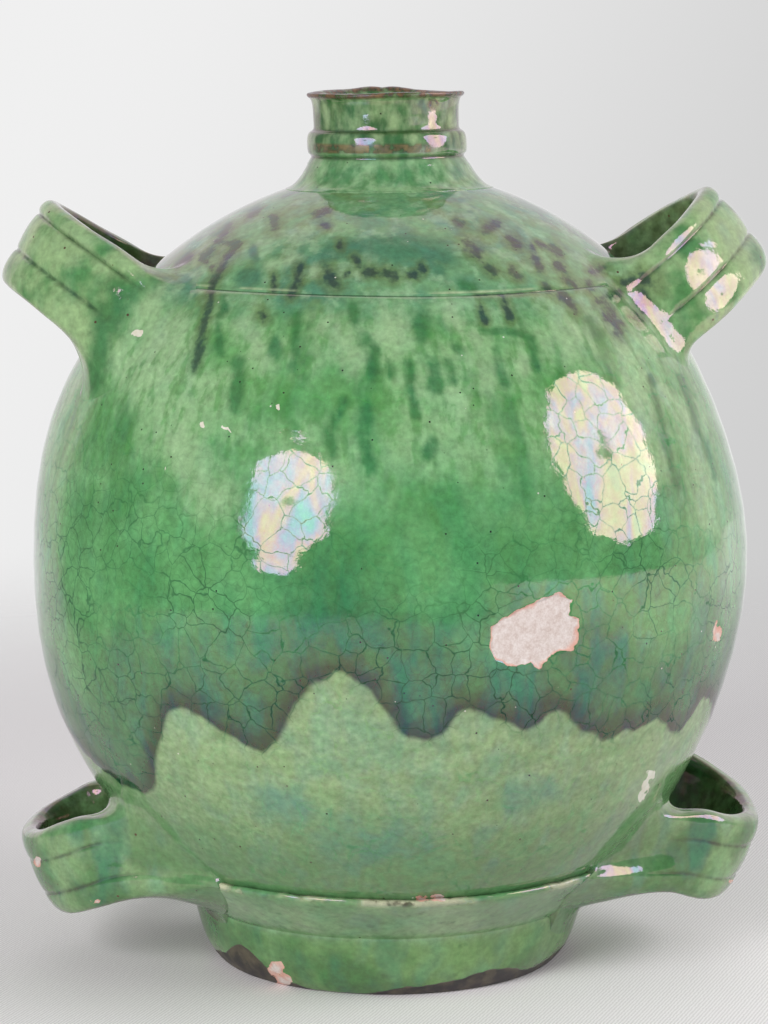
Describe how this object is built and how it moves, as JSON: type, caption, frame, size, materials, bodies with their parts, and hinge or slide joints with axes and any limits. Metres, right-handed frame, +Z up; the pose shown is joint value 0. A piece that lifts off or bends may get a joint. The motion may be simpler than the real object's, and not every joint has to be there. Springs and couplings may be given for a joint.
{
  "type": "olive oil jug",
  "caption": "Round-bellied glazed earthenware oil jug with a short ringed neck, a flared foot ring, and grooved strap handles at the shoulder and over the foot for lifting, carrying and tipping",
  "frame": {"origin": "on the jug's axis, in the plane of the foot ring's underside", "axes": "+Z up along the jug's axis, X across the handles, -Y towards the viewer of the front"},
  "size_m": [0.3484, 0.328, 0.4001],
  "materials": {
    "globe_glaze": "glossy crackled green lead glaze, poured over the shoulder in a dark dripping coat",
    "neck_glaze": "glossy streaked green glaze, worn brown on the lip",
    "foot_glaze": "thin glossy green glaze, bare clay at the table edge",
    "handle_glaze": "glossy green glaze, pooled dark in the grooves"
  },
  "bodies": {
    "root": {"belly": "globe_glaze", "shoulder_dome": "globe_glaze", "neck": "neck_glaze", "foot_ring": "foot_glaze", "upper_left_handle": "handle_glaze", "upper_right_handle": "handle_glaze", "lower_left_handle": "handle_glaze", "lower_right_handle": "handle_glaze"}
  },
  "joints": []
}
